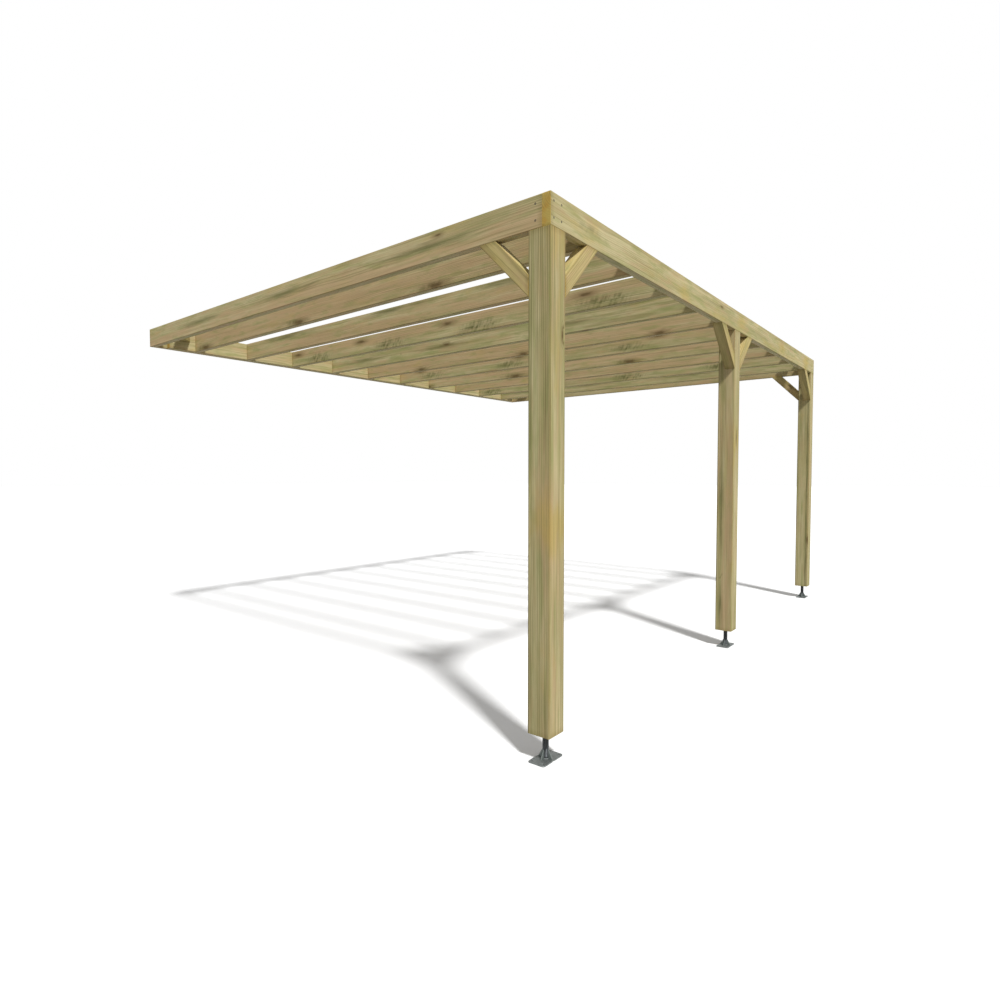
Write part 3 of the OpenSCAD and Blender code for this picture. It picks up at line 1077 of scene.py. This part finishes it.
@dataclass
class Posts:
    """The three posts, each with a rebated head that carries the beams and a hole for its foot's stem."""

    slot: str = "post_timber"
    wood: TreatedPine = TreatedPine(name="treated_pine_post", ring_spacing_mm=7.5, ring_strength=0.75,
                                    wander_mm=10.0, blotch_amount=0.25, latewood="#756A43", sapwood="#CEC294",
                                    shaded="#B9AD7B")
    ease: float = 0.005
    head_ease: float = 0.002
    stem_hole: tuple[float, float] = (0.0153, 0.1)
    # The tree's heart lies off the back left corner, so the rings run down every side as fine lines.
    heart: tuple[float, float] = (0.79, 0.25)

    def head(self, name: str, low: np.ndarray, high: np.ndarray, seed: int) -> Timber:
        """Makes the tongue of a post that stands up between the beams.

        Args:
            name: the post's node.
            low: the tongue's lowest corner.
            high: its highest corner.
            seed: the post's own, so that the grain runs on.

        Returns:
            The tongue.
        """
        size, middle = high - low, (low + high) / 2
        return Timber(name, np.array([middle[0], middle[1], low[2]]), Z_AXIS, X_AXIS, float(size[2]),
                      float(size[1]) / 2, float(size[0]) / 2, ease=self.head_ease, seed=seed,
                      knots_per_metre=0.0, heart=self.heart)

    def marks(self, name: str) -> dict[str, tuple]:
        """Gives a post's own look. Its front is its +b side, and its left its -c side.

        Args:
            name: the post's node.

        Returns:
            Its knots, stains and washes, as fields of its timber.
        """
        front, left = Side.B_PLUS, Side.C_MINUS
        looks = {
            "post_left": {
                "washes": (Wash(1.25, -0.035, left, 1.9, 0.045, (-0.4, 0.0, 0.22)),
                           Wash(0.98, 0.02, left, 0.17, 0.06, (0.45, 0.3, -0.1)),
                           Wash(0.97, 0.0, front, 0.15, 0.09, (0.0, 0.7, -0.2)),
                           Wash(2.24, 0.0, front, 0.12, 0.09, (0.1, 0.55, -0.2))),
                "stains": (Mark(1.62, -0.05, left, 0.6, 0.009, 0.4),
                           Mark(0.35, -0.05, left, 0.4, 0.010, 0.45)),
            },
            "post_middle": {
                "washes": (Wash(1.1, 0.03, left, 2.4, 0.032, (0.4, 0.0, -0.1)),
                           Wash(1.46, 0.0, front, 0.14, 0.09, (0.0, 0.6, -0.1))),
                "stains": (Mark(0.98, -0.025, left, 0.42, 0.015, 0.85),
                           Mark(0.18, -0.025, left, 0.18, 0.016, 0.8)),
            },
            "post_right": {
                "washes": (Wash(1.1, 0.0, left, 2.4, 0.07, (-0.3, 0.0, 0.05)),
                           Wash(0.3, 0.0, front, 0.3, 0.09, (0.0, 0.3, 0.1))),
                "stains": (Mark(1.1, 0.040, left, 3.5, 0.010, 0.9),
                           Mark(0.45, 0.05, left, 0.03, 0.03, 0.3)),
                "knots": (Mark(0.5, 0.055, left, 0.008, 0.008),),
            },
        }
        return looks[name]

    def post(self, name: str, seed: int) -> tuple[Timber, Timber]:
        """Works out a post from its node and the beams that it carries.

        Args:
            name: the post's node.
            seed: picks its grain.

        Returns:
            The full-size length below the beams, and the tongue above.
        """
        low, high = corners(name)
        beam_low, beam_high = corners("front_beam")
        shoulder = beam_low[2]
        size, middle = high - low, (low + high) / 2
        body = Timber(name, np.array([middle[0], middle[1], low[2]]), Z_AXIS, X_AXIS,
                      float(shoulder - low[2]), float(size[1]) / 2, float(size[0]) / 2, ease=self.ease,
                      seed=seed, knots_per_metre=0.2, bore=self.stem_hole, heart=self.heart,
                      **self.marks(name))
        tongue_low = np.array([low[0], beam_high[1], shoulder])
        tongue_high = high.copy()
        thick = beam_high[1] - beam_low[1]
        if name == "post_left":
            tongue_low[0] += thick
        elif name == "post_right":
            tongue_high[0] -= thick
        else:
            tongue_high[1] -= thick
        return body, self.head(name, tongue_low, tongue_high, seed)

    def build(self) -> None:
        """Builds and dresses the posts."""
        face, end = self.wood.both()
        for seed, name in enumerate(("post_left", "post_middle", "post_right")):
            body, tongue = self.post(name, 40 + seed)
            body.build(face, end, self.slot, (tongue,))


@dataclass
class Braces:
    """The knee braces under the beams and the corner braces in the roof frame."""

    slot: str = "brace_timber"
    wood: TreatedPine = TreatedPine(name="treated_pine_brace", pink_amount=0.4, green_amount=0.4,
                                    sapwood="#CBBA80", shaded="#B2A26B")

    def build(self) -> None:
        """Builds and dresses the braces."""
        face, end = self.wood.both()
        right, left, inward, outward, down = X_AXIS, -X_AXIS, Y_AXIS, -Y_AXIS, -Z_AXIS
        places = {
            "knee_brace_front_left": (right, down, inward),
            "knee_brace_middle_left": (left, down, inward),
            "knee_brace_middle_right": (right, down, inward),
            "knee_brace_front_right": (left, down, inward),
            "knee_brace_side_left": (inward, down, right),
            "knee_brace_side_right": (inward, down, right),
            "corner_brace_front_left": (right, inward, down),
            "corner_brace_front_right": (left, inward, down),
            "corner_brace_wall_left": (right, outward, down),
            "corner_brace_wall_right": (left, outward, down),
        }
        for seed, (name, (apart, first, thick)) in enumerate(places.items()):
            slanted(name, apart, first, thick, seed=60 + seed, knots_per_metre=0.5,
                    lean=(-0.1, 0.15, -0.2)).build(face, end, self.slot)


@dataclass
class PostFeet:
    """The three steel feet: a base plate, a threaded stem and four gussets, welded together."""

    slot: str = "galvanised_steel"
    plate: GalvanisedSteel = GalvanisedSteel(name="galvanised_plate", dark="#6C706F", light="#858A88",
                                             bloom="#9AA09C")
    thread: GalvanisedSteel = GalvanisedSteel(name="galvanised_thread", dark="#404244", light="#606466",
                                              bloom="#7C8084", crystal_mm=5.0, roughness=0.45)
    gusset: GalvanisedSteel = GalvanisedSteel(name="galvanised_gusset", dark="#6E7673", light="#8A918D",
                                              bloom="#A0A7A2")
    plate_thick: float = 0.006
    plate_corner: float = 0.012
    hole_radius: float = 0.0055
    hole_edge: float = 0.016
    edge_round: float = 0.0012
    stem_radius: float = 0.015
    thread_pitch: float = 0.0035
    thread_depth: float = 0.0016
    gusset_reach: float = 0.024
    gusset_height: float = 0.042
    gusset_thick: float = 0.005
    weld: float = 0.003
    # How far a piece runs into the one that it is welded to.
    overlap: float = 0.001
    # The stem has no thread just above the plate.
    plain_stem: float = 0.008

    def quarter_plate(self, shell: Shell, centre: np.ndarray, half: np.ndarray, way: np.ndarray) -> None:
        """Adds one quarter of the base plate, a ring round its fixing hole.

        The ring's inner rim is the hole, its outer rim the quarter's outline with the rounded corner.
        Rings go from the hole's bottom rim out, up the edge, back in and down the hole, so the run closes.

        Args:
            shell: the mesh in the making.
            centre: the plate's centre on the ground.
            half: half of the plate's length and width.
            way: the signs of the quarter's directions along x and y.
        """
        hole = half - self.hole_edge
        angle = np.linspace(0.0, 2 * math.pi, 64, endpoint=False)
        ray = np.stack([np.cos(angle), np.sin(angle)], axis=1)
        # A ray from the hole meets the outline where the nearer of its two walls is.
        wall = np.where(ray > 0, half - hole, -hole)
        meets = np.abs(ray) > 1e-9
        reach = np.min(np.where(meets, wall / np.where(meets, ray, 1.0), 9.0), axis=1)
        rim = hole + reach[:, None] * ray
        pivot = half - self.plate_corner
        over = (rim > pivot).all(axis=1)
        lean = rim - pivot
        size = np.maximum(np.linalg.norm(lean, axis=1), 1e-9)
        rim = np.where(over[:, None], pivot + lean / size[:, None] * self.plate_corner, rim)
        outer = ((rim > half - 1e-6).any(axis=1) | over)[:, None]
        inner = rim - outer * ray * self.edge_round
        mouth = hole + ray * self.hole_radius
        flare = hole + ray * (self.hole_radius + self.edge_round * 0.6)
        low, top, step = 0.0, self.plate_thick, self.edge_round
        rings = [(flare, low), (inner, low), (rim, low + step), (rim, top - step), (inner, top), (flare, top),
                 (mouth, top - step * 0.6), (mouth, low + step * 0.6)]
        points = np.stack([np.column_stack([ring * way, np.full(len(ring), z)]) for ring, z in rings])
        if way[0] * way[1] > 0:
            points = points[:, ::-1]
        shell.add_rings(centre + points, closed=True)

    def stem(self, shell: Shell, centre: np.ndarray, top: float) -> None:
        """Adds the threaded stem: radius R - d |2 fract(z / pitch - angle / 2 pi) - 1| at height z.

        Args:
            shell: the mesh in the making.
            centre: the plate's centre on the ground.
            top: the stem's height above it.
        """
        start = self.plate_thick + self.plain_stem
        rings_in_a_turn, end_chamfer = 6, 0.0015
        angle = np.linspace(0.0, 2 * math.pi, 40, endpoint=False)
        z = np.arange(start, top - 0.002, self.thread_pitch / rings_in_a_turn)
        phase = z[:, None] / self.thread_pitch - angle / (2 * math.pi)
        depth = np.abs(2 * (phase - np.floor(phase)) - 1)
        # The thread runs in from a plain root over its first turn and out over its last.
        fade = np.clip(np.minimum(z - start, z[-1] - z) / self.thread_pitch, 0.0, 1.0)[:, None]
        radius = self.stem_radius - self.thread_depth * (depth * fade)
        z = np.concatenate([[self.overlap, start], z, [top - end_chamfer, top]])
        plain = np.full((2, len(angle)), self.stem_radius)
        radius = np.concatenate([plain, radius, [plain[0] * 0.95, plain[0] * 0.87]])
        rings = np.stack([radius * np.cos(angle), radius * np.sin(angle),
                          np.broadcast_to(z[:, None], radius.shape)], axis=-1)
        shell.add_rings(centre + rings, materials=1)

    def weld_bead(self, shell: Shell, centre: np.ndarray) -> None:
        """Adds the weld round the stem's root: a quarter-round fillet whose size ripples 24 times a turn.

        Args:
            shell: the mesh in the making.
            centre: the plate's centre on the ground.
        """
        angle = np.linspace(0.0, 2 * math.pi, 96, endpoint=False)
        size = self.weld * (1.0 + 0.12 * np.cos(24 * angle))
        turn = np.linspace(0.0, math.pi / 2, 5)[:, None]
        radius = self.stem_radius + size * np.cos(turn)
        height = self.plate_thick + size * np.sin(turn)
        inner = np.full((2, len(angle)), self.stem_radius - self.overlap)
        radius = np.concatenate([radius, inner])
        foot = np.full((1, len(angle)), self.plate_thick - self.overlap)
        height = np.concatenate([height, height[-1:], foot])
        rings = np.stack([radius * np.cos(angle), radius * np.sin(angle), height], axis=-1)
        shell.add_rings(centre + rings, closed=True)

    def gusset_plate(self, shell: Shell, centre: np.ndarray, turn: float) -> None:
        """Adds one gusset: its triangle drawn in at both faces for the rounded edges, turned about the stem.

        Args:
            shell: the mesh in the making.
            centre: the plate's centre on the ground.
            turn: the gusset's direction in radians.
        """
        root, foot = self.stem_radius - self.overlap, self.plate_thick - self.overlap
        out, high = self.stem_radius + self.gusset_reach, self.plate_thick + self.gusset_height
        outline = np.array([[root, foot], [out, foot], [out, foot + 0.002], [root + 0.0016, high],
                            [root, high]])
        middle = outline.mean(axis=0)
        lean = outline - middle
        drawn = middle + lean * (1.0 - self.edge_round / np.linalg.norm(lean, axis=1, keepdims=True))
        half, step = self.gusset_thick / 2, 0.0009
        rings = []
        for shape, y in ((drawn, half), (outline, half - step), (outline, step - half), (drawn, -half)):
            rings.append(np.column_stack([shape[:, 0], np.full(len(shape), y), shape[:, 1]]))
        cos, sin = math.cos(turn), math.sin(turn)
        spin = np.array([[cos, sin, 0.0], [-sin, cos, 0.0], [0.0, 0.0, 1.0]])
        shell.add_rings(centre + np.stack(rings)[::-1] @ spin, materials=2)

    def build(self) -> None:
        """Builds and dresses the feet."""
        finishes = [self.plate.build(), self.thread.build(), self.gusset.build()]
        for name in ("post_foot_left", "post_foot_middle", "post_foot_right"):
            low, high = corners(name)
            centre = np.array([(low[0] + high[0]) / 2, (low[1] + high[1]) / 2, low[2]])
            half = (high - low)[:2] / 2
            shell = Shell()
            for way in ((1.0, 1.0), (-1.0, 1.0), (1.0, -1.0), (-1.0, -1.0)):
                self.quarter_plate(shell, centre, half, np.array(way))
            self.stem(shell, centre, float(high[2] - low[2]))
            self.weld_bead(shell, centre)
            for quarter in range(4):
                self.gusset_plate(shell, centre, quarter * math.pi / 2)
            piece = shell.build(name.replace("post_foot", "steel_foot"), finishes)
            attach(piece, "root")
            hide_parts(name)
            log.info("%s: %d faces", piece.name, len(piece.data.polygons))


@dataclass
class Screws:
    """The countersunk screws that hold the beams to each other and to the posts at the front corners."""

    slot: str = "galvanised_steel"
    steel: GalvanisedSteel = GalvanisedSteel(name="screw_steel", dark="#3A3730", light="#57524A",
                                             bloom="#6B655B", crystal_mm=2.0, roughness=0.4)
    head_radius: float = 0.005
    recess_radius: float = 0.002
    proud: float = SCREW_PROUD
    recess_depth: float = 0.0015
    sunk: float = 0.002
    # Up the beam, the screws sit at a quarter and three quarters of its depth.
    rows: tuple[float, float] = (0.25, 0.75)
    beam_columns: tuple[float, float] = (0.025, 0.086)
    side_column: float = 0.082

    def head(self, shell: Shell, place: np.ndarray, outward: np.ndarray) -> None:
        """Adds one head: rings from the rim over the flat into a six-lobed recess.

        Args:
            shell: the mesh in the making.
            place: the head's centre on the timber.
            outward: the direction that it faces.
        """
        angle = np.linspace(0.0, 2 * math.pi, 24, endpoint=False)
        lobes = 1.0 + 0.16 * np.cos(6 * angle)
        ones = np.ones_like(angle)
        sizes = [self.head_radius * ones, self.head_radius * ones, self.head_radius * 0.9 * ones,
                 self.recess_radius * lobes, self.recess_radius * 0.9 * lobes]
        heights = [-self.sunk, self.proud * 0.4, self.proud, self.proud, -self.recess_depth]
        ray = np.cos(angle)[:, None] * np.cross(Z_AXIS, outward) + np.sin(angle)[:, None] * Z_AXIS
        rings = np.stack([place + r[:, None] * ray + z * outward for r, z in zip(sizes, heights)])
        shell.add_rings(rings)

    def build(self) -> None:
        """Builds the screws of both front corners, one piece for each."""
        steel = self.steel.build()
        low, high = corners("front_beam")
        depth = high[2] - low[2]
        for name, edge, inward in (("left", low[0], 1.0), ("right", high[0], -1.0)):
            shell = Shell()
            for row in self.rows:
                z = low[2] + row * depth
                for column in self.beam_columns:
                    self.head(shell, np.array([edge + inward * column, low[1] + self.proud, z]), -Y_AXIS)
                self.head(shell, np.array([edge, low[1] + self.side_column, z]), -inward * X_AXIS)
            piece = shell.build(f"corner_screws_{name}", [steel])
            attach(piece, "root")
            log.info("%s: %d faces", piece.name, len(piece.data.polygons))


@dataclass
class Studio:
    """The camera, the soft light and the pale floor."""

    place: Vector3 = (-4.7482, -5.5603, -1.1593)
    pitch: float = 87.796
    yaw: float = -51.388
    lens_mm: float = 22.19
    sun_strength: float = 3.6
    sun_degrees: float = 6.0
    sun_travel: Vector3 = (0.3249, 0.6358, -1.0)
    sky: float = 0.44
    bounce: float = 0.25
    floor_reach: float = 80.0

    def build(self) -> None:
        """Makes the camera, lamps, world and floor."""
        scene = bpy.context.scene
        scene.view_settings.view_transform = "Standard"
        data = bpy.data.cameras.new("camera")
        data.lens, data.sensor_width, data.clip_end = self.lens_mm, 36.0, 200.0
        camera = bpy.data.objects.new("camera", data)
        camera.location = self.place
        camera.rotation_euler = (math.radians(self.pitch), 0.0, math.radians(self.yaw))
        scene.collection.objects.link(camera)
        scene.camera = camera
        lamp = bpy.data.lights.new("soft_key", "SUN")
        lamp.energy, lamp.angle = self.sun_strength, math.radians(self.sun_degrees)
        key = bpy.data.objects.new("soft_key", lamp)
        key.rotation_euler = sun_turn(np.array(self.sun_travel) / np.linalg.norm(self.sun_travel))
        scene.collection.objects.link(key)
        world = bpy.data.worlds.new("studio")
        world.use_nodes = True
        scene.world = world
        world.node_tree.nodes.clear()
        graph = Graph(world.node_tree)
        sky = graph.add("Background", ((1.0, 1.0, 1.0, 1.0), self.sky))
        white = graph.add("Background", ((1.0, 1.0, 1.0, 1.0), 1.0))
        graph.add("OutputWorld", (graph.add("MixShader", (self.seen(graph), sky, white)),))
        self.floor()

    def seen(self, graph: Graph) -> bpy.types.Node:
        """Adds the nodes that pick out the rays that are seen: straight, by reflection or through glass.

        Args:
            graph: the world's or the floor's graph.

        Returns:
            A node that gives 1 for such a ray and 0 for the others.
        """
        rays = graph.add("LightPath").outputs
        straight_on = (rays["Is Camera Ray"], rays["Is Glossy Ray"])
        eye = graph.add("Math", straight_on, operation="MAXIMUM")
        return graph.add("Math", (eye, rays["Is Transmission Ray"]), operation="MAXIMUM")

    def floor(self) -> None:
        """Makes the floor, white to the eye and a mid tone to the light that it throws back."""
        level = float(CAD_BOX[0][2])
        mesh = bpy.data.meshes.new("floor")
        reach = self.floor_reach
        mesh.from_pydata([(-reach, -reach, level), (reach, -reach, level), (reach, reach, level),
                          (-reach, reach, level)], [], [(0, 1, 2, 3)])
        material, graph = new_material("pale_floor")
        dim = (self.bounce, self.bounce, self.bounce, 1.0)
        colour = graph.add("Mix", {0: self.seen(graph), 6: dim, 7: (0.9, 0.9, 0.9, 1.0)}, data_type="RGBA")
        shader = graph.add("BsdfPrincipled", {"Base Color": colour, "Roughness": 1.0,
                                              "Specular IOR Level": 0.0})
        graph.add("OutputMaterial", (shader,))
        mesh.materials.append(material)
        floor = bpy.data.objects.new("floor", mesh)
        bpy.context.scene.collection.objects.link(floor)


def sun_turn(travel: np.ndarray) -> Vector3:
    """Returns the rotation that makes a lamp, whose light runs along its -Z, shine along a unit vector."""
    return math.acos(float(-travel[2])), 0.0, math.atan2(float(-travel[0]), float(travel[1]))


def main() -> None:
    """Builds the pergola and its studio."""
    Studio().build()
    RoofFrame().build()
    Posts().build()
    PostFeet().build()
    Braces().build()
    Screws().build()


if __name__ == "__main__":
    main()
